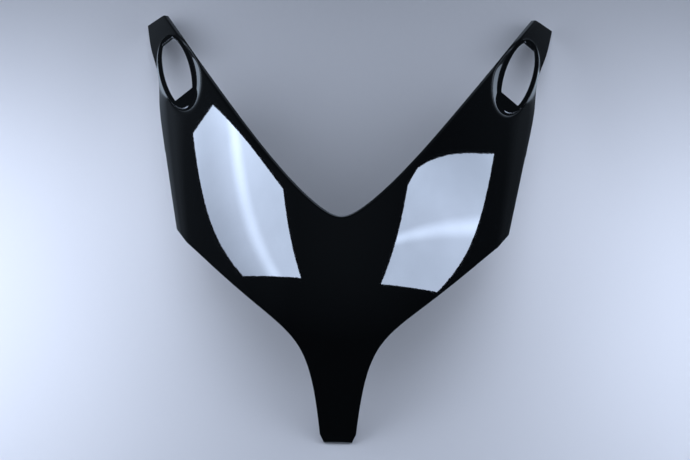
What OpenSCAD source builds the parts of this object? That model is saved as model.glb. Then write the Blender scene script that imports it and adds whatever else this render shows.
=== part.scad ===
// Nose fairing of a motorcycle: one moulded shell with a chin that drops in front, a rounded
// crown, and two arms that run back beside the windscreen, each with an oval mirror seat.
// It lies as it rests on a table, on the chin and the ends of the arms. +Y runs to the arms.

/* [Crown and flanks] */
// Height that the crown gains from the chin to the arms
crown_rise = 168; // [140:1:190]
// Length over which the crown levels out
crown_run = 91; // [80:1:105]
// Length of the straight slope at the chin's end
chin_run = 25; // [15:1:35]
// Fall of the flanks far from the middle, per sideways millimetre
flank_fall = 1.15; // [1:0.01:1.25]
// Half width over which the crown is rounded
crown_w = 180; // [160:1:220]
// Wall of the moulding
wall = 3; // [2.5:0.1:3.5]

/* [Screen edge] */
// Distance from the chin's end to the bottom of the screen notch
notch_y = 168; // [158:1:174]
// Steepness of the screen edge just outside the notch
notch_steep = 0.65; // [0.5:0.05:0.9]
// Rounding at the bottom of the notch
notch_r = 13; // [8:1:30]
// Steepness that the screen edge gains along the arms
arm_steep = 1.78; // [1.6:0.02:1.9]
// Length over which the screen edge bows into the arms
arm_bow = 124; // [105:1:145]
// Width of the lip that turns down along the screen edge
lip_w = 4.5; // [3:0.5:6]
// Fall of that lip per millimetre
lip_fall = 1.2; // [0.8:0.1:2]

/* [Chin and lower edge] */
// Half width of the chin's flat end
chin_half = 13; // [10:0.5:16]
// Half width of the chin above its cut corners
chin_side = 17; // [16:0.5:20]
// Height of the chin's cut corners, seen from above
chin_cut = 5.5; // [3:0.5:9]
// Half width where the lower edge meets the crease of the side band
hip_x = 152.5; // [147:0.5:157]
// Distance of that point from the chin's end
hip_y = 175; // [169:1:181]

/* [Side band and arm ends] */
// Half width at the lower corner of the side band
corner_x = 166; // [162:0.5:174]
// Distance of that corner from the chin's end
corner_y = 196.5; // [190:0.5:205]
// Half width at the screen corner of the arm's end
tip_in_x = 223.5; // [216:1:226]
// Half width at the outer corner of the arm's end
tip_out_x = 253.5; // [248:0.5:259]
// Distance of the outer corner of the arm's end from the chin's end
tip_out_y = 545; // [540:0.5:556]
// Depth to which the outer edge draws in beside the mirror seat
waist = 4.5; // [0:0.5:6]
// Distance of that waist from the chin's end
waist_y = 433; // [420:1:448]
// Length over which the outer edge draws in and comes out again
waist_l = 40; // [30:1:50]
// Drop that the side band adds to the flank's own fall
band_drop = 8; // [5:0.5:14]
// Rounding of the crease, as a share of the band's width
crease_soft = 0.8; // [0.3:0.05:1]
// Distance from the chin's end at which the side band starts to fade out
fade_y = 400; // [380:5:420]
// Length over which the side band fades out
fade_l = 70; // [50:5:90]
// Drop of the arm's ends below the level run of the arms
droop = 11; // [7:0.5:15]
// Distance from the chin's end at which the arms start to droop
droop_y = 250; // [200:10:320]

/* [Mirror seat] */
// Half width at the middle of the seat
seat_x = 194.5; // [191:0.5:195]
// Distance of the seat's middle from the chin's end
seat_y = 419; // [408:0.5:427]
// Turn of the seat's long axis away from the middle line
seat_turn = 18; // [15:1:21]
// Half length of the flat seat
seat_half_l = 68; // [60:0.5:72]
// Half width of the flat seat
seat_half_w = 19.5; // [18.5:0.5:20.5]
// Height of the seat's middle above the chin's end
seat_z = 55; // [53:0.5:60]
// Sideways fall of the seat
seat_fall = 0.48; // [0.4:0.02:0.6]
// Width of the flat ledge beside the hole
ledge_w = 4.7; // [4:0.1:6]
// Distance from the seat's middle to the hole's end towards the arm's end
hole_top = 57; // [48:0.5:60]
// Distance from the seat's middle to the hole's end towards the chin
hole_low = 45; // [40:1:55]
// Slant of the hole's straight ends
hole_slant = 15; // [0:1:20]
// Rise of the pocket's inner wall per seat radius
pocket_rise = 45; // [35:1:60]
// Drop of the collar's outer wall per seat radius
collar_drop = 90; // [70:1:120]
// Rounding of the seat's rim
rim_r = 2; // [1:0.1:3]

/* [Hidden screw posts and ribs] */
// Sideways distance between the two posts behind the notch
notch_posts = 90; // [80:1:110]
// Distance of those posts from the notch, towards the chin
notch_posts_in = 24; // [20:1:30]
// Length of those posts below the crown's own height there
notch_post_l = 30; // [22:1:40]
// Sideways distance between the two posts beside the lower corners
side_posts = 270; // [260:1:280]
// Distance of those posts from the chin's end
side_posts_y = 205; // [200:1:215]
// Height at which those posts end, above the chin's end
side_post_z = 60; // [55:1:66]
// Outer diameter of a screw post
post_d = 10; // [8:0.5:12]
// Diameter of the screw hole in a post
post_hole = 4.2; // [3:0.1:5]
// Depth of the screw hole
post_hole_l = 16; // [12:1:18]
// Thickness of the posts' ribs and of the hook tabs
rib_t = 2; // [1.5:0.1:2.5]
// Reach of a rib beyond its post
rib_reach = 9; // [6:0.5:12]
// Width of a hook tab
tab_w = 14; // [10:1:18]
// Length of a hook tab below the shell
tab_l = 9; // [7:0.5:12]
// Distance of the hook tabs in from the lower edge
tab_in = 9; // [7:0.5:12]
// Depth of the rib that joins the posts behind the notch
rib_depth = 8; // [5:0.5:12]

/* [Hidden] */

// Handles of the lower edge's curve: the first bends the chin's side, the second the hip
chin_handle = [30.5, 92];
hip_handle = [53, 55];
// Distance by which the crease passes outside the screen corner of the arm's end
crease_past = 3;
// Middle of the seam line between nose and arm, where the mesh turns from one to the other
seam_handle = [50, 118];
// Least width to which the band narrows towards the chin
band_least = 6;
// Rounding of the lip's bend, as a share of its width
lip_round = 0.2;
// Plan distance from the chin's end at which the arm's mesh turns into the seat's
seat_from = 300;
// Step either side of a point over which the skin's slope is taken
feel = 5;
// Numbers of mesh steps: up the nose, up the arm, beside the seat, over the flank and the band
nose_n = 15;
arm_n = 10;
beside_n = 17;
flank_n = 11;
band_n = 4;
// Distances from the screen edge at which the lip has its mesh lines
lip_lines = [0, 0.4, 1.1] * lip_w;
// Mesh steps of the lower edge at which the hook tabs stand
tab_steps = [8, 12];
// Shares of the way from the arm's edge in to the seat at which its mesh has loops
seat_shares = [0.25, 0.45, 0.62, 0.76, 0.86, 0.93, 0.97];
// Share of the way over the flat ledge at which it has a loop
ledge_share = 0.3;
// Most of the way to the seat that the lip's loops may take where the two come close
lip_share = 0.6;
// Depths of a post's ribs: at the post, as a share of its length, and at their ends
rib_share = 0.6;
rib_toe = 1;

across_n = flank_n + band_n;
loop_n = 2 * (across_n + beside_n);
tip_in_y = screen_y(tip_in_x);

// Slopes of the outer edge and the crease in plan
side_lean = (tip_out_x - corner_x) / (tip_out_y - corner_y);
crease_lean = (tip_in_x + crease_past - hip_x) / (tip_in_y - hip_y);

// Rises like |t|, rounded over the length r about nought
function soft(t, r) = sqrt(t * t + r * r) - r;
// Nought below t = 0 and t above it, rounded over r
function ramp(t, r) = (t + sqrt(t * t + r * r)) / 2;
// The lesser and the greater of two heights, rounded over r where they cross
function lesser(a, b, r) = (a + b - sqrt((a - b) * (a - b) + r * r)) / 2;
function greater(a, b, r) = (a + b + sqrt((a - b) * (a - b) + r * r)) / 2;
function mix(a, b, t) = a + (b - a) * t;
function curve2(a, b, c, t) = mix(mix(a, b, t), mix(b, c, t), t);
function curve3(a, b, c, d, t) = mix(curve2(a, b, c, t), curve2(b, c, d, t), t);

// Plan lines: the screen edge as y over x, the crease and the outer edge as x over y
function screen_y(x) = notch_y + notch_steep * soft(x, notch_r) + arm_steep * soft(x, arm_bow);
function screen_lean(x) =
    notch_steep * x / sqrt(x * x + notch_r * notch_r) + arm_steep * x / sqrt(x * x + arm_bow * arm_bow);
function crease_x(y) = hip_x + crease_lean * (y - hip_y);
function side_x(y) =
    corner_x + side_lean * (y - corner_y) - waist * exp(-pow((y - waist_y) / waist_l, 2));

// Outer skin of the panel: crown, less flank, side band, screen lip and the droop of the arm's end
function levelling(y) = crown_rise * (1 - exp(-y / crown_run));
chin_lean = crown_rise / crown_run * exp(-chin_run / crown_run);
chin_z = levelling(chin_run) - chin_lean * chin_run;
function crown(y) = y < chin_run ? chin_lean * y : levelling(y) - chin_z;
function fade(y) = let (t = min(max((y - fade_y) / fade_l, 0), 1)) 1 - t * t * (3 - 2 * t);
function band_w(y) = greater(side_x(y) - crease_x(y), band_least, band_least);
function band(x, y) = band_drop * fade(y) * ramp((x - crease_x(y)) / band_w(y), crease_soft);
function drooped(y) = droop * pow(max(0, (y - droop_y) / (tip_out_y - droop_y)), 2);
function from_screen(x, y) = (screen_y(x) - y) / sqrt(1 + pow(screen_lean(x), 2));
function lip(x, y) = lip_fall * ramp(lip_w - from_screen(x, y), lip_round * lip_w);
function panel(x, y) =
    crown(y) - flank_fall * soft(x, crown_w) - band(x, y) - lip(x, y) - drooped(y);

// Mirror seat: a plane, and how far outside its oval a point lies, in seat radii
function seat_u(x, y) = (x - seat_x) * sin(seat_turn) + (y - seat_y) * cos(seat_turn);
function seat_v(x, y) = (x - seat_x) * cos(seat_turn) - (y - seat_y) * sin(seat_turn);
function beyond(x, y) =
    max(0, norm([seat_u(x, y) / seat_half_l, seat_v(x, y) / seat_half_w]) - 1);
function seat(x) = seat_z - seat_fall * (x - seat_x);

// The whole outer skin: the panel, held between the collar's outer wall and the pocket's inner one
function skin(x, y) =
    let (a = abs(x), e = beyond(a, y))
    lesser(greater(panel(a, y), seat(a) - collar_drop * e, rim_r), seat(a) + pocket_rise * e, rim_r);
function outer(p) = [p.x, p.y, skin(p.x, p.y)];
function normal(x, y) =
    let (
        sx = (skin(x + feel, y) - skin(x - feel, y)) / (2 * feel),
        sy = (skin(x, y + feel) - skin(x, y - feel)) / (2 * feel)
    )
    [-sx, -sy, 1] / norm([sx, sy, 1]);
function inner(p) = outer(p) - wall * normal(p.x, p.y);

// The ledge round the hole is exactly flat, above and below
function flat(p) = [p.x, p.y, seat(p.x)];
function flat_under(p) = flat(p) - wall * [seat_fall, 0, 1] / norm([seat_fall, 0, 1]);

// Mesh lines in plan, from the middle line or screen edge outwards, as shares of their length
function shares(length) =
    [
        for (d = lip_lines) d / length,
        for (k = [1:flank_n - 2]) mix(lip_lines[2] / length, 1, k / (flank_n - 2))
    ];
function line_across(a, b, c) = [for (t = shares(norm(c - a))) curve2(a, b, c, t)];

notch = [0, notch_y];
hip = [hip_x, hip_y];
seam_bend = seam_handle - (notch + hip) / 2;

// Nose, right half: from the chin's end to the seam line that joins notch and hip
nose_rows = [
    for (k = [0:nose_n - 2]) (notch_y - lip_lines[2]) * k / (nose_n - 2),
    notch_y - lip_lines[1],
    notch_y
];
function lower_edge(i) =
    i == 0 ? [chin_half, 0]
    : curve3([chin_side, chin_cut], chin_handle, hip_handle, hip, (i - 1) / (nose_n - 1));
function nose_line(i) =
    let (a = [0, nose_rows[i]], c = lower_edge(i))
    line_across(a, (a + c) / 2 + seam_bend * pow(i / nose_n, 2), c);

// Arm, right half: from the seam line to the mirror seat
function screen_at(i) = let (x = mix(0, arm_screen_x, i / arm_n)) [x, screen_y(x)];
function crease_at(i) = let (y = mix(hip_y, seat_from, i / arm_n)) [crease_x(y), y];
function side_at(i) = let (y = mix(corner_y, seat_from, i / arm_n)) [side_x(y), y];
function arm_line(i) =
    let (a = screen_at(i), c = crease_at(i), d = side_at(i))
    [
        each line_across(a, (a + c) / 2 + seam_bend * pow(1 - i / arm_n, 2), c),
        for (k = [1:band_n]) mix(c, d, k / band_n)
    ];

// Half width at which the screen edge passes seat_from, found by halving
function screen_x_at(y, low, high, n = 40) =
    let (x = (low + high) / 2)
    n == 0 ? x : screen_y(x) > y ? screen_x_at(y, low, x, n - 1) : screen_x_at(y, x, high, n - 1);
arm_screen_x = screen_x_at(seat_from, 0, tip_in_x);

nose_plan = [for (i = [0:nose_n]) nose_line(i)];
arm_plan = [for (i = [0:arm_n]) arm_line(i)];

// Loop round the arm's end: across the arm, up the outer edge, over the end, down the screen edge
tip_out = [tip_out_x, tip_out_y];
tip_in = [tip_in_x, tip_in_y];
arm_end_loop = [
    each arm_plan[arm_n],
    for (k = [1:beside_n]) let (y = mix(seat_from, tip_out_y, k / beside_n)) [side_x(y), y],
    for (k = [1:across_n]) mix(tip_out, tip_in, k / across_n),
    for (k = [1:beside_n - 1]) let (x = mix(tip_in_x, arm_screen_x, k / beside_n)) [x, screen_y(x)]
];

function seat_angle(k) = 180 + (across_n / 2 - k) * 360 / loop_n;
function from_seat(u, v) =
    [
        seat_x + u * sin(seat_turn) + v * cos(seat_turn),
        seat_y + u * cos(seat_turn) - v * sin(seat_turn)
    ];
function seat_oval(k) = from_seat(seat_half_l * cos(seat_angle(k)), seat_half_w * sin(seat_angle(k)));
function hole_oval(k) =
    let (
        v = (seat_half_w - ledge_w) * sin(seat_angle(k)),
        u = (seat_half_l - ledge_w) * cos(seat_angle(k)),
        slant = v * tan(hole_slant)
    )
    from_seat(min(max(u, -hole_low - slant), hole_top - slant), v);

function toward(p, q, d) = p + (q - p) * min(lip_share, d / norm(q - p));
seat_plan = [
    arm_end_loop,
    for (d = [lip_lines[1], lip_lines[2]])
        [for (k = [0:loop_n - 1]) toward(arm_end_loop[k], seat_oval(k), d)],
    for (s = seat_shares)
        [
            for (k = [0:loop_n - 1])
                mix(toward(arm_end_loop[k], seat_oval(k), lip_lines[2]), seat_oval(k), s)
        ],
    [for (k = [0:loop_n - 1]) seat_oval(k)]
];
ledge_mid = [for (k = [0:loop_n - 1]) mix(seat_oval(k), hole_oval(k), ledge_share)];
ledge_in = [for (k = [0:loop_n - 1]) hole_oval(k)];

function tops(plan) = [for (row = plan) [for (p = row) outer(p)]];
function unders(plan) = [for (row = plan) [for (p = row) inner(p)]];
function closed(rows) = [for (row = rows) [each row, row[0]]];
nose_top = tops(nose_plan);
nose_under = unders(nose_plan);
arm_top = tops(arm_plan);
arm_under = unders(arm_plan);
seat_top = closed([each tops(seat_plan), [for (p = ledge_mid) flat(p)], [for (p = ledge_in) flat(p)]]);
seat_under = closed([
    each unders(seat_plan), [for (p = ledge_mid) flat_under(p)], [for (p = ledge_in) flat_under(p)]
]);

// Four-cornered faces between neighbouring mesh lines, seen from above
function sheet(rows) =
    [
        for (i = [0:len(rows) - 2])
            for (j = [0:len(rows[0]) - 2])
                [rows[i][j], rows[i][j + 1], rows[i + 1][j + 1], rows[i + 1][j]]
    ];
function turned(faces) = [for (f = faces) [f[3], f[2], f[1], f[0]]];
function mirrored(faces) = turned([for (f = faces) [for (p = f) [-p.x, p.y, p.z]]]);
function column(rows, j) = [for (row = rows) row[j]];
function part_of(list, from, to) = [for (k = [from:to]) list[k]];
function backwards(list) = [for (k = [len(list) - 1:-1:0]) list[k]];

// The shell's free edge, once on its upper side and once on its lower, in the same order
function free_edge(nose, arm, seat) =
    [
        each nose[0],
        each part_of(column(nose, flank_n), 1, nose_n),
        each part_of(arm[0], flank_n + 1, across_n),
        each part_of(column(arm, across_n), 1, arm_n),
        each part_of(seat[0], across_n + 1, loop_n),
        each part_of(backwards(column(arm, 0)), 1, arm_n)
    ];
edge_faces = sheet([
    free_edge(nose_under, arm_under, seat_under), free_edge(nose_top, arm_top, seat_top)
]);
last_loop = len(seat_top) - 1;
hole_faces = sheet([backwards(seat_under[last_loop]), backwards(seat_top[last_loop])]);

half_faces = [
    each sheet(nose_top), each sheet(arm_top), each sheet(seat_top),
    each turned(sheet(nose_under)), each turned(sheet(arm_under)), each turned(sheet(seat_under)),
    each edge_faces, each hole_faces
];
all_faces = [each half_faces, each mirrored(half_faces)];

// The part's own frame: middle of its length, and its lowest point on the table
ends = [for (row = [nose_under[0], nose_top[0], seat_under[0], seat_top[0]]) for (p = row) p];
table_z = min([for (p = ends) p.z]);
origin_y = (min([for (p = ends) p.y]) + max([for (p = ends) p.y])) / 2;

// Closed solid between two grids of points, the first one below the second
function ring(rows) =
    [
        each rows[0],
        each part_of(column(rows, len(rows[0]) - 1), 1, len(rows) - 1),
        each part_of(backwards(rows[len(rows) - 1]), 1, len(rows[0]) - 1),
        each part_of(backwards(column(rows, 0)), 1, len(rows) - 1)
    ];
function between(low, high) =
    [each sheet(high), each turned(sheet(low)), each sheet([ring(low), ring(high)])];

// Height halfway through the wall, straight above a point in plan
function mid_wall(x, y) = skin(x, y) - wall / 2 / normal(x, y).z;

module as_solid(faces) {
    polyhedron(
        points = [for (f = faces) each f],
        faces = [
            for (k = [0:len(faces) - 1])
                each [[4 * k, 4 * k + 2, 4 * k + 1], [4 * k, 4 * k + 3, 4 * k + 2]]
        ]
    );
}

// All that lies under the shell around a point: its top runs through the middle of the wall
module below_skin(x, y, half, low, steps = 4) {
    plan = [
        for (i = [0:steps])
            [for (j = [0:steps]) [x + half * (2 * j / steps - 1), y + half * (2 * i / steps - 1)]]
    ];
    as_solid(between(
        [for (row = plan) [for (p = row) [p.x, p.y, low]]],
        [for (row = plan) [for (p = row) [p.x, p.y, mid_wall(p.x, p.y)]]]
    ));
}

// Upright rib under the shell along a line in plan, with its depths at the start and the end
module rib(from, to, depth_from, depth_to, steps = 1) {
    side = rib_t / 2 * [from.y - to.y, to.x - from.x] / norm(to - from);
    plan = [for (s = [1, -1]) [for (k = [0:steps]) mix(from, to, k / steps) - s * side]];
    function depth(k) = wall + mix(depth_from, depth_to, k / steps);
    as_solid(between(
        [
            for (row = plan)
                [for (k = [0:steps]) [row[k].x, row[k].y, skin(row[k].x, row[k].y) - depth(k)]]
        ],
        [for (row = plan) [for (p = row) [p.x, p.y, mid_wall(p.x, p.y)]]]
    ));
}

// Screw post on the underside, ending at a given height, with ribs along and across it
module post(x, y, end_z) {
    intersection() {
        translate([x, y, end_z])
            cylinder(d = post_d, h = crown_rise);
        below_skin(x, y, post_d, end_z - 1);
    }
    post_l = skin(x, y) - wall - end_z;
    for (a = [0:90:270]) {
        way = [cos(a), sin(a)];
        far = [x, y] + way * (post_d / 2 + rib_reach);
        rib([x, y] + way * post_d / 4, far, post_l * rib_share, rib_toe);
    }
}

module post_bore(x, y, end_z) {
    translate([x, y, end_z - 1])
        cylinder(d = post_hole, h = post_hole_l + 1);
}

module both_sides() {
    children();
    mirror([1, 0, 0]) children();
}

// Flat tab that hooks behind the panel below, set in from the lower edge
module hook_tab(i) {
    at = lower_edge(i);
    way = (lower_edge(i + 1) - lower_edge(i - 1)) / norm(lower_edge(i + 1) - lower_edge(i - 1));
    set_in = [-way.y, way.x] * tab_in;
    rib(at + set_in - way * tab_w / 2, at + set_in + way * tab_w / 2, tab_l, tab_l);
}

notch_post = [notch_posts / 2, notch_y - notch_posts_in];
notch_post_z = crown(notch_post.y) - notch_post_l;
side_post = [side_posts / 2, side_posts_y];

module shell() {
    as_solid(all_faces);
}

module hidden_side() {
    both_sides() {
        post(notch_post.x, notch_post.y, notch_post_z);
        post(side_post.x, side_post.y, side_post_z);
        for (i = tab_steps)
            hook_tab(i);
    }
    rib([-notch_post.x, notch_post.y], notch_post, rib_depth, rib_depth, 10);
}

module fairing() {
    color("#0b0d0f")
    translate([0, -origin_y, -table_z])
        difference() {
            union() {
                shell();
                hidden_side();
            }
            both_sides() {
                post_bore(notch_post.x, notch_post.y, notch_post_z);
                post_bore(side_post.x, side_post.y, side_post_z);
            }
        }
}

fairing();
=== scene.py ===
import math

import bmesh
import bpy
from mathutils import Matrix, Quaternion, Vector


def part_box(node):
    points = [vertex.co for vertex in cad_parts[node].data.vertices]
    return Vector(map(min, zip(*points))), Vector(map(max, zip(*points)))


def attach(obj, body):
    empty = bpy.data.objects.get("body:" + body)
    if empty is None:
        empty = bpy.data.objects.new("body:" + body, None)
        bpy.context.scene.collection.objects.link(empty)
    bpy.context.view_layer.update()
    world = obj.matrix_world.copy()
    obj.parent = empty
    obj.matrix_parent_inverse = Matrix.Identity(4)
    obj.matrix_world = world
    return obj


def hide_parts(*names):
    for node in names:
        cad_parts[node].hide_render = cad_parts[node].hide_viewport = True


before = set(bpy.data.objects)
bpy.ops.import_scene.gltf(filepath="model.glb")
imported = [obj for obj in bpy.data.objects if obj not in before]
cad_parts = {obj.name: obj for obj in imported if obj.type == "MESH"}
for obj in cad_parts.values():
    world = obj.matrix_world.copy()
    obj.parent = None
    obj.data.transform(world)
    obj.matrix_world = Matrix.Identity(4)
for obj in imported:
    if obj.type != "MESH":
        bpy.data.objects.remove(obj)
cadLow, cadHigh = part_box("fairing")
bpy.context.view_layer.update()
print("frame loaded, fairing from", cadLow, "to", cadHigh)

# Plan sizes are in millimetres from the chin's end, +Y towards the arms, with turns and slants in degrees.

crown = {"rise": 168, "run": 91, "chinRun": 25, "flankFall": 1.15, "roundHalf": 180, "wall": 3}
screenEdge = {"notchY": 168, "notchSteep": 0.65, "notchRound": 13, "armSteep": 1.78, "armBow": 124,
              "lipWide": 4.5, "lipFall": 1.2, "lipRound": 0.2}
lowerEdge = {"chinHalf": 13, "chinSide": (17, 5.5), "chinHandle": (30.5, 92),
             "hipHandle": (53, 55), "hip": (152.5, 175), "seamHandle": (50, 118)}
armSides = {"corner": (166, 196.5), "tipIn": 223.5, "tipOut": (253.5, 545), "waist": 4.5,
            "waistY": 433, "waistLong": 40, "seatFrom": 300, "droop": 11, "droopFrom": 250}
sideBand = {"drop": 8, "creaseSoft": 0.8, "creasePast": 3, "least": 6, "fadeFrom": 400, "fadeLong": 70}
mirrorSeat = {"middle": (194.5, 419), "turn": 18, "halfLong": 68, "halfWide": 19.5, "height": 55,
              "fall": 0.48, "ledge": 4.7, "holeTop": 57, "holeLow": 45, "holeSlant": 15,
              "pocketRise": 45, "collarDrop": 90, "rimRound": 2, "rimNear": 1e-4}


def softAbs(t, r):  # the size of t, its corner at 0 rounded by r
    return math.sqrt(t * t + r * r) - r


def rampUp(t, r):  # 0 before 0 and t after it, rounded between them
    return (t + math.sqrt(t * t + r * r)) / 2


def softMost(a, b, r):
    return (a + b + math.hypot(a - b, r)) / 2


def softLeast(a, b, r):
    return (a + b - math.hypot(a - b, r)) / 2


def mix(a, b, t):
    return a + (b - a) * t


def bend2(a, b, c, t):
    return mix(mix(a, b, t), mix(b, c, t), t)


def bend3(a, b, c, d, t):
    return mix(bend2(a, b, c, t), bend2(b, c, d, t), t)


def screenY(x):
    s = screenEdge
    near = s["notchSteep"] * softAbs(x, s["notchRound"])
    return s["notchY"] + near + s["armSteep"] * softAbs(x, s["armBow"])


def screenLean(x):
    s = screenEdge
    near = s["notchSteep"] * x / math.hypot(x, s["notchRound"])
    return near + s["armSteep"] * x / math.hypot(x, s["armBow"])


notch = Vector((0, screenEdge["notchY"]))
hip = Vector(lowerEdge["hip"])
corner = Vector(armSides["corner"])
tipOut = Vector(armSides["tipOut"])
tipIn = Vector((armSides["tipIn"], screenY(armSides["tipIn"])))
sideLean = (tipOut.x - corner.x) / (tipOut.y - corner.y)
creaseLean = (tipIn.x + sideBand["creasePast"] - hip.x) / (tipIn.y - hip.y)
seatMiddle = Vector(mirrorSeat["middle"])
seatSin = math.sin(math.radians(mirrorSeat["turn"]))
seatCos = math.cos(math.radians(mirrorSeat["turn"]))


def creaseX(y):
    return hip.x + creaseLean * (y - hip.y)


def sideX(y):
    waist = armSides["waist"] * math.exp(-((y - armSides["waistY"]) / armSides["waistLong"]) ** 2)
    return corner.x + sideLean * (y - corner.y) - waist


# Height of the outer skin: the crown less the flank, the side band, the lip and the droop, with the mirror
# seat's plane cut in between its collar and its pocket wall

def levelling(y):
    return crown["rise"] * (1 - math.exp(-y / crown["run"]))


def crownZ(y):
    chinRun = crown["chinRun"]
    chinLean = crown["rise"] / crown["run"] * math.exp(-chinRun / crown["run"])
    if y < chinRun:
        return chinLean * y
    return levelling(y) - levelling(chinRun) + chinLean * chinRun


def bandZ(x, y):
    t = min(max((y - sideBand["fadeFrom"]) / sideBand["fadeLong"], 0), 1)
    fade = 1 - t * t * (3 - 2 * t)
    wide = softMost(sideX(y) - creaseX(y), sideBand["least"], sideBand["least"])
    return sideBand["drop"] * fade * rampUp((x - creaseX(y)) / wide, sideBand["creaseSoft"])


def panelZ(x, y):
    fromScreen = (screenY(x) - y) / math.hypot(1, screenLean(x))
    lipWide = screenEdge["lipWide"]
    lip = screenEdge["lipFall"] * rampUp(lipWide - fromScreen, screenEdge["lipRound"] * lipWide)
    droopFrom = armSides["droopFrom"]
    droop = armSides["droop"] * max(0, (y - droopFrom) / (tipOut.y - droopFrom)) ** 2
    return crownZ(y) - crown["flankFall"] * softAbs(x, crown["roundHalf"]) - bandZ(x, y) - lip - droop


def beyondSeat(x, y):  # 0 on the ledge, then as a share of the seat's half size
    dx, dy = x - seatMiddle.x, y - seatMiddle.y
    u = (dx * seatSin + dy * seatCos) / mirrorSeat["halfLong"]
    v = (dx * seatCos - dy * seatSin) / mirrorSeat["halfWide"]
    return max(0, math.hypot(u, v) - 1)


def seatZ(x):
    return mirrorSeat["height"] - mirrorSeat["fall"] * (x - seatMiddle.x)


def skinZ(x, y):
    x = abs(x)
    beyond = beyondSeat(x, y)
    collar = seatZ(x) - mirrorSeat["collarDrop"] * beyond
    pocket = seatZ(x) + mirrorSeat["pocketRise"] * beyond
    held = softMost(panelZ(x, y), collar, mirrorSeat["rimRound"])
    return softLeast(held, pocket, mirrorSeat["rimRound"])


def outward(x, y, feel=5):  # the skin's slope is felt 5 mm to each side
    sx = (skinZ(x + feel, y) - skinZ(x - feel, y)) / (2 * feel)
    sy = (skinZ(x, y + feel) - skinZ(x, y - feel)) / (2 * feel)
    return Vector((-sx, -sy, 1)).normalized()


def onSkin(p):
    return Vector((p.x, p.y, skinZ(p.x, p.y)))


def onLedge(p):
    return Vector((p.x, p.y, seatZ(abs(p.x))))


def midWall(x, y):
    return skinZ(x, y) - crown["wall"] / 2 / outward(x, y).z


# Plan lines of the right half: across the panel, along its edges, and round the seat

meshSteps = {"across": 72, "toCrease": 60, "nose": 56, "arm": 44, "beside": 70, "lipRows": 5,
             "seatRows": 36, "ledgeRows": 4, "halvings": 40, "merge": 0.001}
closerLines = {"screen": 1.3, "notch": 1.4, "seat": 1.8, "ledge": 2, "pastLip": 1.1, "lipMost": 0.6}
loopSteps = 2 * (meshSteps["across"] + meshSteps["beside"])
seamBend = Vector(lowerEdge["seamHandle"]) - (notch + hip) / 2


def closerToScreen(t):
    return t ** closerLines["screen"]


def closerToEnd(t, power):
    return 1 - (1 - t) ** power


def lowerLine(t):
    start = Vector(lowerEdge["chinSide"])
    return bend3(start, Vector(lowerEdge["chinHandle"]), Vector(lowerEdge["hipHandle"]), hip, t)


def nosePlan(i, j):
    n = meshSteps["nose"]
    a = Vector((0, notch.y * closerToEnd(i / n, closerLines["notch"])))
    c = lowerLine((i - 1) / (n - 1)) if i > 0 else Vector((lowerEdge["chinHalf"], 0))
    middle = (a + c) / 2 + seamBend * (i / n) ** 2
    return bend2(a, middle, c, closerToScreen(j / meshSteps["toCrease"]))


def screenXAt(y):
    low, high = 0, tipIn.x
    for halving in range(meshSteps["halvings"]):
        x = (low + high) / 2
        low, high = (low, x) if screenY(x) > y else (x, high)
    return x


armScreenX = screenXAt(armSides["seatFrom"])


def armPlan(i, j):
    t = i / meshSteps["arm"]
    x = armScreenX * t
    a = Vector((x, screenY(x)))
    creaseY = mix(hip.y, armSides["seatFrom"], t)
    sideY = mix(corner.y, armSides["seatFrom"], t)
    c = Vector((creaseX(creaseY), creaseY))
    d = Vector((sideX(sideY), sideY))
    toCrease = meshSteps["toCrease"]
    if j > toCrease:
        return mix(c, d, (j - toCrease) / (meshSteps["across"] - toCrease))
    middle = (a + c) / 2 + seamBend * (1 - t) ** 2
    return bend2(a, middle, c, closerToScreen(j / toCrease))


def armEndLoop(k):
    across, beside = meshSteps["across"], meshSteps["beside"]
    if k <= across:
        return armPlan(meshSteps["arm"], k)
    if k <= across + beside:
        y = mix(armSides["seatFrom"], tipOut.y, (k - across) / beside)
        return Vector((sideX(y), y))
    if k <= 2 * across + beside:
        return mix(tipOut, tipIn, (k - across - beside) / across)
    x = mix(tipIn.x, armScreenX, (k - 2 * across - beside) / beside)
    return Vector((x, screenY(x)))


def fromSeat(u, v):
    return seatMiddle + Vector((u * seatSin + v * seatCos, u * seatCos - v * seatSin))


def seatAngle(k):
    return math.radians(180 + (meshSteps["across"] / 2 - k) * 360 / loopSteps)


def seatOval(k):
    a = seatAngle(k)
    return fromSeat(mirrorSeat["halfLong"] * math.cos(a), mirrorSeat["halfWide"] * math.sin(a))


def holeOval(k):
    a = seatAngle(k)
    v = (mirrorSeat["halfWide"] - mirrorSeat["ledge"]) * math.sin(a)
    u = (mirrorSeat["halfLong"] - mirrorSeat["ledge"]) * math.cos(a)
    slant = v * math.tan(math.radians(mirrorSeat["holeSlant"]))
    return fromSeat(min(max(u, -mirrorSeat["holeLow"] - slant), mirrorSeat["holeTop"] - slant), v)


def seatPlan(k, i):
    edge, oval = armEndLoop(k), seatOval(k)
    pastLip = closerLines["pastLip"] * screenEdge["lipWide"] / (oval - edge).length
    lipEnd = min(closerLines["lipMost"], pastLip)
    rows = meshSteps["lipRows"]
    if i <= rows:
        return mix(edge, oval, lipEnd * i / rows)
    t = (i - rows) / (meshSteps["seatRows"] - rows)
    return mix(edge, oval, mix(lipEnd, 1, closerToEnd(t, closerLines["seat"])))


def ledgePlan(k, i):
    return mix(seatOval(k), holeOval(k), (i / meshSteps["ledgeRows"]) ** closerLines["ledge"])


# Meshes and pieces

def addSheet(mesh, stepsX, stepsY, place):
    made = bmesh.ops.create_grid(mesh, x_segments=stepsX, y_segments=stepsY, size=0.5)["verts"]
    for v in made:
        v.co = place(round((v.co.x + 0.5) * stepsX), round((v.co.y + 0.5) * stepsY))


def picked(geometry, kind):
    return [g for g in geometry if isinstance(g, kind)]


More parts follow.
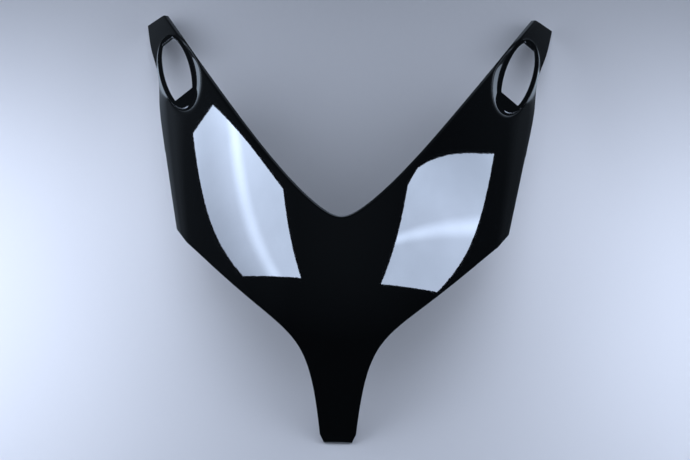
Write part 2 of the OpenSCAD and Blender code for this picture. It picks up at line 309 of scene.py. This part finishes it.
def extrudeLoop(mesh, loop):
    made = bmesh.ops.extrude_edge_only(mesh, edges=loop)["geom"]
    verts = picked(made, bmesh.types.BMVert)
    new = set(verts)
    return verts, [e for e in picked(made, bmesh.types.BMEdge) if new.issuperset(e.verts)]


def intoFrame(mesh, tableZ):  # from plan millimetres to the frame's metres
    toFrame = Matrix.Translation((0, cadLow.y, 0)) @ Matrix.Scale(0.001, 4)
    bmesh.ops.transform(mesh, matrix=toFrame @ Matrix.Translation((0, 0, tableZ)), verts=mesh.verts)


def addObject(name, mesh, materials):
    data = bpy.data.meshes.new(name)
    mesh.to_mesh(data)
    mesh.free()
    for material in materials:
        data.materials.append(material)
    made = bpy.data.objects.new(name, data)
    bpy.context.collection.objects.link(made)
    return made


def makePiece(name, mesh, materials, smooth):
    piece = addObject(name, mesh, materials)
    for face in piece.data.polygons:
        face.use_smooth = smooth
    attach(piece, "root")
    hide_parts("fairing")


# Shell: outer skin from the plan lines, its copy one wall below, and the rounded free edge between them

freeEdge = {"rounding": 1.0, "share": 0.6, "turns": (30, 60, 90), "merge": 0.0005}


def leanAt(p):
    if beyondSeat(abs(p.x), p.y) < mirrorSeat["rimNear"]:
        return Vector((math.copysign(mirrorSeat["fall"], p.x), 0, 1)).normalized()
    return outward(p.x, p.y)


def innerPoint(p):
    return p - crown["wall"] * leanAt(p)


def layOuterSkin(shell):
    addSheet(shell, meshSteps["toCrease"], meshSteps["nose"], lambda j, i: onSkin(nosePlan(i, j)))
    addSheet(shell, meshSteps["across"], meshSteps["arm"], lambda j, i: onSkin(armPlan(i, j)))
    addSheet(shell, loopSteps, meshSteps["seatRows"], lambda k, i: onSkin(seatPlan(k, i)))
    addSheet(shell, loopSteps, meshSteps["ledgeRows"], lambda k, i: onLedge(ledgePlan(k, i)))
    bmesh.ops.remove_doubles(shell, verts=shell.verts, dist=meshSteps["merge"])
    half = shell.verts[:] + shell.edges[:] + shell.faces[:]
    bmesh.ops.mirror(shell, geom=half, axis="X", merge_dist=meshSteps["merge"])
    bmesh.ops.remove_doubles(shell, verts=shell.verts, dist=meshSteps["merge"])
    bmesh.ops.recalc_face_normals(shell, faces=shell.faces)
    if shell.faces[0].normal.z < 0:
        bmesh.ops.reverse_faces(shell, faces=shell.faces)


def noteFreeEdge(shell):  # each free vertex gets a number, and under it its place, way in, lean and inset
    number = shell.verts.layers.int.new("free_edge")
    free = [v for v in shell.verts if v.is_boundary]
    ways = {}
    for v in free:
        inward = [e.other_vert(v).co - v.co for e in v.link_edges if not e.is_boundary]
        if inward:
            ways[v] = sum(inward, Vector()) / len(inward)
    rim = []
    for v in free:
        beside = [e.other_vert(v) for e in v.link_edges if e.is_boundary]
        way = ways[v] if v in ways else sum((ways[w] for w in beside if w in ways), Vector())
        inset = min(freeEdge["rounding"], freeEdge["share"] * way.length)
        v[number] = len(rim) + 1
        rim.append((v.co.copy(), way.normalized() * inset, leanAt(v.co), inset))
    return number, rim


def roundPoint(spot, turn, below):
    place, way, lean, inset = spot
    depth = inset * (1 - math.cos(math.radians(turn)))
    if below:
        depth = crown["wall"] - depth
    return place + way * (1 - math.sin(math.radians(turn))) - lean * depth


def addUnderside(shell):
    number, rim = noteFreeEdge(shell)
    loop = [e for e in shell.edges if e.is_boundary]
    under = bmesh.ops.duplicate(shell, geom=shell.verts[:] + shell.edges[:] + shell.faces[:])["geom"]
    underFaces = picked(under, bmesh.types.BMFace)
    bmesh.ops.reverse_faces(shell, faces=underFaces)
    for v in picked(under, bmesh.types.BMVert):
        v.co = roundPoint(rim[v[number] - 1], 0, True) if v[number] else innerPoint(v.co)
    for v in {v for e in loop for v in e.verts}:
        v.co = roundPoint(rim[v[number] - 1], 0, False)
    turns = freeEdge["turns"]
    rimFaces = set()
    for turn, below in [(turn, False) for turn in turns] + [(turn, True) for turn in (*reversed(turns), 0)]:
        verts, loop = extrudeLoop(shell, loop)
        rimFaces.update(face for e in loop for face in e.link_faces)
        for v in verts:
            v.co = roundPoint(rim[v[number] - 1], turn, below)
    for face in underFaces:
        face.material_index = 1
    for e in {e for face in rimFaces for e in face.edges}:
        e.smooth = all(face in rimFaces for face in e.link_faces) and not e.is_boundary
    bmesh.ops.remove_doubles(shell, verts=shell.verts, dist=freeEdge["merge"])
    bmesh.ops.recalc_face_normals(shell, faces=shell.faces)
    return min(innerPoint(place).z for place, way, lean, inset in rim)


def makeShell(gloss, matt):
    shell = bmesh.new()
    layOuterSkin(shell)
    tableZ = -addUnderside(shell)  # the lowest point of the rim comes to stand on the floor
    intoFrame(shell, tableZ)
    print("shell of", len(shell.faces), "faces, chin's end at", round(tableZ, 2), "mm")
    makePiece("fairing_shell", shell, [gloss, matt], True)
    return tableZ


# Hidden side: screw posts with their bores, the ribs round and between them, and the hook tabs

screwPosts = {"outer": 10, "bore": 4.2, "boreDeep": 16, "sides": 32, "notchPlace": (45, 144),
              "notchLong": 30, "sidePlace": (135, 205), "sideEndZ": 60}
postRibs = {"thick": 2, "reach": 9, "share": 0.6, "toe": 1, "startIn": 0.9, "steps": 8,
            "crossDeep": 8, "crossSteps": 24}
hookTab = {"edgeSteps": (8, 12), "ofSteps": 15, "wide": 14, "long": 9, "setIn": 9}


def addPost(mesh, x, y, endZ):
    end = Vector((x, y, endZ))
    hole = bmesh.ops.create_circle(mesh, radius=screwPosts["bore"] / 2, segments=screwPosts["sides"],
                                   matrix=Matrix.Translation(end))["verts"]
    mouth = [e for e in mesh.edges if e.verts[0] in hole]
    ring, outerLoop = extrudeLoop(mesh, mouth)
    for v in ring:
        v.co = end + (v.co - end) * screwPosts["outer"] / screwPosts["bore"]
    wall, topLoop = extrudeLoop(mesh, outerLoop)
    for v in wall:
        v.co.z = midWall(v.co.x, v.co.y)
    bmesh.ops.edgeloop_fill(mesh, edges=topLoop)
    bore, deepLoop = extrudeLoop(mesh, mouth)
    bmesh.ops.translate(mesh, verts=bore, vec=(0, 0, screwPosts["boreDeep"]))
    bmesh.ops.edgeloop_fill(mesh, edges=deepLoop)


def addRib(mesh, start, end, depthStart, depthEnd, steps):
    made = bmesh.ops.create_grid(mesh, x_segments=steps, y_segments=1, size=0.5)["verts"]
    side = Vector((start.y - end.y, end.x - start.x)).normalized() * postRibs["thick"]
    for v in made:
        t, top = v.co.x + 0.5, v.co.y > 0
        p = mix(start, end, t) - side / 2
        low = skinZ(p.x, p.y) - crown["wall"] - mix(depthStart, depthEnd, t)
        v.co = (p.x, p.y, midWall(p.x, p.y) if top else low)
    sheet = [face for face in mesh.faces if face.verts[0] in made]
    thick = bmesh.ops.extrude_face_region(mesh, geom=sheet)["geom"]
    bmesh.ops.translate(mesh, verts=picked(thick, bmesh.types.BMVert), vec=side.to_3d())


def addPostRibs(mesh, x, y, endZ):
    post, half = Vector((x, y)), screwPosts["outer"] / 2
    deep = (skinZ(x, y) - crown["wall"] - endZ) * postRibs["share"]
    for turn in range(4):
        way = Vector((math.cos(turn * math.pi / 2), math.sin(turn * math.pi / 2)))
        start, end = post + way * half * postRibs["startIn"], post + way * (half + postRibs["reach"])
        addRib(mesh, start, end, deep, postRibs["toe"], postRibs["steps"])


def addCrossRib(mesh):
    x, y = screwPosts["notchPlace"]
    deep = postRibs["crossDeep"]
    addRib(mesh, Vector((-x, y)), Vector((x, y)), deep, deep, postRibs["crossSteps"])


def addHookTab(mesh, step, side):
    at, before, after = (lowerLine((step + k - 1) / (hookTab["ofSteps"] - 1)) for k in (0, -1, 1))
    way = (after - before).normalized()
    middle = at + Vector((-way.y, way.x)) * hookTab["setIn"]
    half = way * hookTab["wide"] / 2
    start, end = (place * Vector((side, 1)) for place in (middle - half, middle + half))
    addRib(mesh, start, end, hookTab["long"], hookTab["long"], 1)


def makeHiddenSide(tableZ, matt):
    notchEndZ = crownZ(screwPosts["notchPlace"][1]) - screwPosts["notchLong"]
    places = [(*screwPosts["notchPlace"], notchEndZ), (*screwPosts["sidePlace"], screwPosts["sideEndZ"])]
    posts, ribs, tabs = bmesh.new(), bmesh.new(), bmesh.new()
    for side in (1, -1):
        for x, y, endZ in places:
            addPost(posts, side * x, y, endZ)
            addPostRibs(ribs, side * x, y, endZ)
        for step in hookTab["edgeSteps"]:
            addHookTab(tabs, step, side)
    addCrossRib(ribs)
    for name, mesh in (("screw_posts", posts), ("post_ribs", ribs), ("hook_tabs", tabs)):
        bmesh.ops.recalc_face_normals(mesh, faces=mesh.faces)
        intoFrame(mesh, tableZ)
        makePiece(name, mesh, [matt], False)
    print("hidden side: posts, ribs and hook tabs")


# Nodes that the finishes, the panels and the room share

def addNode(tree, kind, **values):
    node = tree.nodes.new(kind)
    for name, value in values.items():
        if name in node.inputs:
            node.inputs[name].default_value = value
        else:
            setattr(node, name, value)
    return node


def addNoise(tree, scale, detail):
    place = addNode(tree, "ShaderNodeTexCoord")
    noise = addNode(tree, "ShaderNodeTexNoise", Scale=scale, Detail=detail)
    tree.links.new(place.outputs["Object"], noise.inputs["Vector"])
    return noise.outputs["Fac"]


def addRange(tree, source, low, high, start=0, end=1, gradient="LINEAR"):
    ranged = addNode(tree, "ShaderNodeMapRange", interpolation_type=gradient)
    for name, value in (("From Min", start), ("From Max", end), ("To Min", low), ("To Max", high)):
        ranged.inputs[name].default_value = value
    tree.links.new(source, ranged.inputs["Value"])
    return ranged.outputs["Result"]


def addMath(tree, operation, total, *others):
    for other in others:
        joined = addNode(tree, "ShaderNodeMath", operation=operation)
        tree.links.new(total, joined.inputs[0])
        tree.links.new(other, joined.inputs[1])
        total = joined.outputs["Value"]
    return total


def addDot(tree, source, way):
    along = addNode(tree, "ShaderNodeVectorMath", operation="DOT_PRODUCT")
    along.inputs[1].default_value = way
    tree.links.new(source, along.inputs[0])
    return along.outputs["Value"]


def addClouds(tree, shader, colours):
    cloud = addNoise(tree, colours["cloudScale"], colours["cloudDetail"])
    ramp = addNode(tree, "ShaderNodeValToRGB")
    ramp.color_ramp.elements[0].color = colours["dark"]
    ramp.color_ramp.elements[1].color = colours["light"]
    tree.links.new(cloud, ramp.inputs["Fac"])
    tree.links.new(ramp.outputs["Color"], shader.inputs["Base Color"])
    return cloud


def addGrain(tree, shader, scale, strength, distance):
    bump = addNode(tree, "ShaderNodeBump", Strength=strength, Distance=distance)
    tree.links.new(addNoise(tree, scale, 2), bump.inputs["Height"])
    tree.links.new(bump.outputs["Normal"], shader.inputs["Normal"])


def newFinish(name):
    finish = bpy.data.materials.new(name)
    finish.use_nodes = True
    return finish, finish.node_tree, finish.node_tree.nodes["Principled BSDF"]


# Finishes of the fairing, with heights in metres

glossBlack = {"dark": (0.0010, 0.0013, 0.0016, 1), "light": (0.0018, 0.0023, 0.0028, 1),
              "cloudScale": 14, "cloudDetail": 4, "roughLow": 0.018, "roughHigh": 0.034,
              "peelScale": 260, "peel": 0.006, "peelHigh": 0.001}
mattBlack = {"dark": (0.010, 0.011, 0.012, 1), "light": (0.020, 0.021, 0.023, 1),
             "cloudScale": 30, "cloudDetail": 3, "rough": 0.55,
             "grainScale": 1400, "grain": 0.18, "grainHigh": 0.0003}


def makeGlossBlack():
    finish, tree, shader = newFinish("gloss_black")
    cloud = addClouds(tree, shader, glossBlack)
    rough = addRange(tree, cloud, glossBlack["roughLow"], glossBlack["roughHigh"])
    tree.links.new(rough, shader.inputs["Roughness"])
    addGrain(tree, shader, glossBlack["peelScale"], glossBlack["peel"], glossBlack["peelHigh"])
    return finish


def makeMattBlack():
    finish, tree, shader = newFinish("matt_underside")
    addClouds(tree, shader, mattBlack)
    shader.inputs["Roughness"].default_value = mattBlack["rough"]
    addGrain(tree, shader, mattBlack["grainScale"], mattBlack["grain"], mattBlack["grainHigh"])
    return finish


# Floor; from here on places and sizes are in metres

floorSheet = {"half": 12, "dark": (0.63, 0.65, 0.69, 1), "light": (0.65, 0.67, 0.71, 1),
              "cloudScale": 3, "cloudDetail": 2, "rough": 0.7, "shine": 0.1}


def makeFloor():
    finish, tree, shader = newFinish("pale_floor")
    addClouds(tree, shader, floorSheet)
    shader.inputs["Roughness"].default_value = floorSheet["rough"]
    shader.inputs["Specular IOR Level"].default_value = floorSheet["shine"]
    sheet = bmesh.new()
    bmesh.ops.create_grid(sheet, x_segments=1, y_segments=1, size=floorSheet["half"])
    floor = addObject("floor", sheet, [finish])
    floor.visible_glossy = False  # the black gloss shows the dim room, not the bright sheet


# Two soft panels that the arms reflect, each with a brighter streak and a glow that fades along "fade"

leftPanel = {"corners": ((-1.351, 0.875, 0.163), (-1.358, 1.041, 0.316), (-0.849, 0.265, 1.128),
                         (-0.563, -0.620, 1.111), (-0.844, -0.278, 0.573)),
             "streak": ((-1.218, 0.831, 0.545), (-0.717, -0.432, 0.818)), "streakHalf": 0.085, "gain": 0.38,
             "fade": ((-1.020, 0.400, 0.727), (-1.100, 0.287, 0.352)), "farGlow": 0.56, "strength": 18.2}
rightPanel = {"corners": ((1.234, 0.709, 0.247), (0.772, -0.368, 0.551), (0.587, -0.711, 1.184),
                          (1.034, 0.400, 1.278), (1.115, 0.576, 1.151)),
              "streak": ((0.807, -0.168, 1.203), (1.007, 0.184, 0.409)), "streakHalf": 0.095, "gain": 0.45,
              "fade": ((0.966, 0.136, 0.705), (1.209, 0.666, 0.328)), "farGlow": 0.60, "strength": 15.9}
panelGlow = {"colour": (0.64, 0.765, 1.0, 1), "cloudScale": 3.2, "cloudDetail": 6,
             "low": 0.90, "high": 1.10}


def addSpan(tree, start, end, low, high):  # low up to start, eased to high at end
    place = addNode(tree, "ShaderNodeTexCoord").outputs["Object"]
    way = end - start
    first = start.dot(way) / way.length_squared
    along = addDot(tree, place, way / way.length_squared)
    return addRange(tree, along, low, high, first, first + 1, "SMOOTHSTEP")


def makePanelGlow(name, panel, facing):
    finish, tree, shader = newFinish(name)
    tree.nodes.remove(shader)
    start, end = (Vector(p) for p in panel["streak"])
    side = (end - start).cross(facing).normalized() * panel["streakHalf"]
    peak = 1 + panel["gain"]
    rise = addSpan(tree, start - side, start, 1, peak)
    fall = addSpan(tree, start, start + side, 1, 1 / peak)
    fadeStart, fadeEnd = (Vector(p) for p in panel["fade"])
    fade = addSpan(tree, fadeStart, fadeEnd, panel["strength"], panel["strength"] * panel["farGlow"])
    noise = addNoise(tree, panelGlow["cloudScale"], panelGlow["cloudDetail"])
    cloud = addRange(tree, noise, panelGlow["low"], panelGlow["high"])
    glow = addNode(tree, "ShaderNodeEmission", Color=panelGlow["colour"])
    tree.links.new(addMath(tree, "MULTIPLY", rise, fall, fade, cloud), glow.inputs["Strength"])
    tree.links.new(glow.outputs["Emission"], tree.nodes["Material Output"].inputs["Surface"])
    return finish


def addPanel(name, panel):
    sheet = bmesh.new()
    face = sheet.faces.new([sheet.verts.new(place) for place in panel["corners"]])
    face.normal_update()
    piece = addObject(name, sheet, [makePanelGlow(name, panel, face.normal.copy())])
    piece.visible_camera = False
    piece.visible_diffuse = False


# Lamps for the floor and the matt side, which the gloss doesn't show

floorLamps = {"left": ((-0.49, -0.13, 0.34), 2.75), "right": ((0.48, -0.13, 0.33), 2.1), "size": 0.5}
skyLamp = {"from": (0, 0.45, 1), "spread": 50, "power": 0.76}
lampColour = (0.80, 0.86, 1.0)


def addLamp(name, kind, place, power):
    light = bpy.data.lights.new(name, kind)
    light.energy = power
    light.color = lampColour
    lamp = bpy.data.objects.new(name, light)
    bpy.context.collection.objects.link(lamp)
    lamp.location = place
    lamp.visible_camera = False
    lamp.visible_glossy = False
    return lamp


def addLamps():
    sky = addLamp("sky", "SUN", skyLamp["from"], skyLamp["power"])
    sky.data.angle = math.radians(skyLamp["spread"])
    sky.rotation_euler = Vector(skyLamp["from"]).to_track_quat("Z", "Y").to_euler()
    for side in ("left", "right"):
        place, power = floorLamps[side]
        addLamp("floor_" + side, "AREA", place, power).data.size = floorLamps["size"]


# The room's glow: more from the top, from the back below the horizon and from the near floor. Pairs are
# the ends of a range in the direction's Z, in its share towards "back", or in its X for the left side.

room = {"colour": (0.66, 0.80, 1.0, 1), "level": 0.045, "top": 0.135, "topFrom": 0.55,
        "below": (-0.2, -0.02), "belowSide": 0.06, "belowBack": 0.42, "back": (0.24, 0.97, 0),
        "backSpread": (0.88, 0.98), "near": (-0.5, -0.27), "nearLevel": 0.8, "left": (-1, -0.5),
        "leftGain": 2.1, "restGain": 0.85, "backdrop": 0.3}


def lightRoom():
    world = bpy.data.worlds.new("room")
    bpy.context.scene.world = world
    world.use_nodes = True
    tree = world.node_tree
    way = addNode(tree, "ShaderNodeTexCoord").outputs["Generated"]
    parts = addNode(tree, "ShaderNodeSeparateXYZ")
    tree.links.new(way, parts.inputs["Vector"])
    up, across = parts.outputs["Z"], parts.outputs["X"]
    top = addRange(tree, up, room["level"], room["top"], room["topFrom"], 1)
    back = addDot(tree, way, room["back"])
    sector = addRange(tree, back, room["belowSide"], room["belowBack"], *room["backSpread"])
    below = addMath(tree, "MULTIPLY", addRange(tree, up, 1, 0, *room["below"]), sector)
    near = addRange(tree, up, room["nearLevel"], 0, *room["near"])
    side = addRange(tree, across, room["leftGain"], room["restGain"], *room["left"])
    glow = addMath(tree, "MULTIPLY", addMath(tree, "ADD", top, below, near), side)
    seen = addNode(tree, "ShaderNodeLightPath")
    level = addNode(tree, "ShaderNodeMix")
    level.inputs["B"].default_value = room["backdrop"]
    tree.links.new(seen.outputs["Is Camera Ray"], level.inputs["Factor"])
    tree.links.new(glow, level.inputs["A"])
    background = tree.nodes["Background"]
    background.inputs["Color"].default_value = room["colour"]
    tree.links.new(level.outputs["Result"], background.inputs["Strength"])


viewer = {"place": (0.01706, -0.6091, 0.85737), "azimuth": 1.555, "elevation": 55.97, "roll": -0.338,
          "lens": 50, "sensor": 36}


def placeCamera():
    data = bpy.data.cameras.new("camera")
    data.lens, data.sensor_width = viewer["lens"], viewer["sensor"]
    camera = bpy.data.objects.new("camera", data)
    bpy.context.collection.objects.link(camera)
    a, e = math.radians(viewer["azimuth"]), math.radians(viewer["elevation"])
    back = Vector((math.sin(a) * math.cos(e), -math.cos(a) * math.cos(e), math.sin(e)))
    aim = (-back).to_track_quat("-Z", "Y")
    camera.rotation_mode = "QUATERNION"
    camera.rotation_quaternion = aim @ Quaternion((0, 0, 1), math.radians(viewer["roll"]))
    camera.location = viewer["place"]
    bpy.context.scene.camera = camera


glossFinish, mattFinish = makeGlossBlack(), makeMattBlack()
tableLift = makeShell(glossFinish, mattFinish)
makeHiddenSide(tableLift, mattFinish)
makeFloor()
addPanel("panel_left", leftPanel)
addPanel("panel_right", rightPanel)
addLamps()
lightRoom()
placeCamera()
bpy.context.scene.view_settings.view_transform = "Standard"
print("floor, lamps and camera placed")
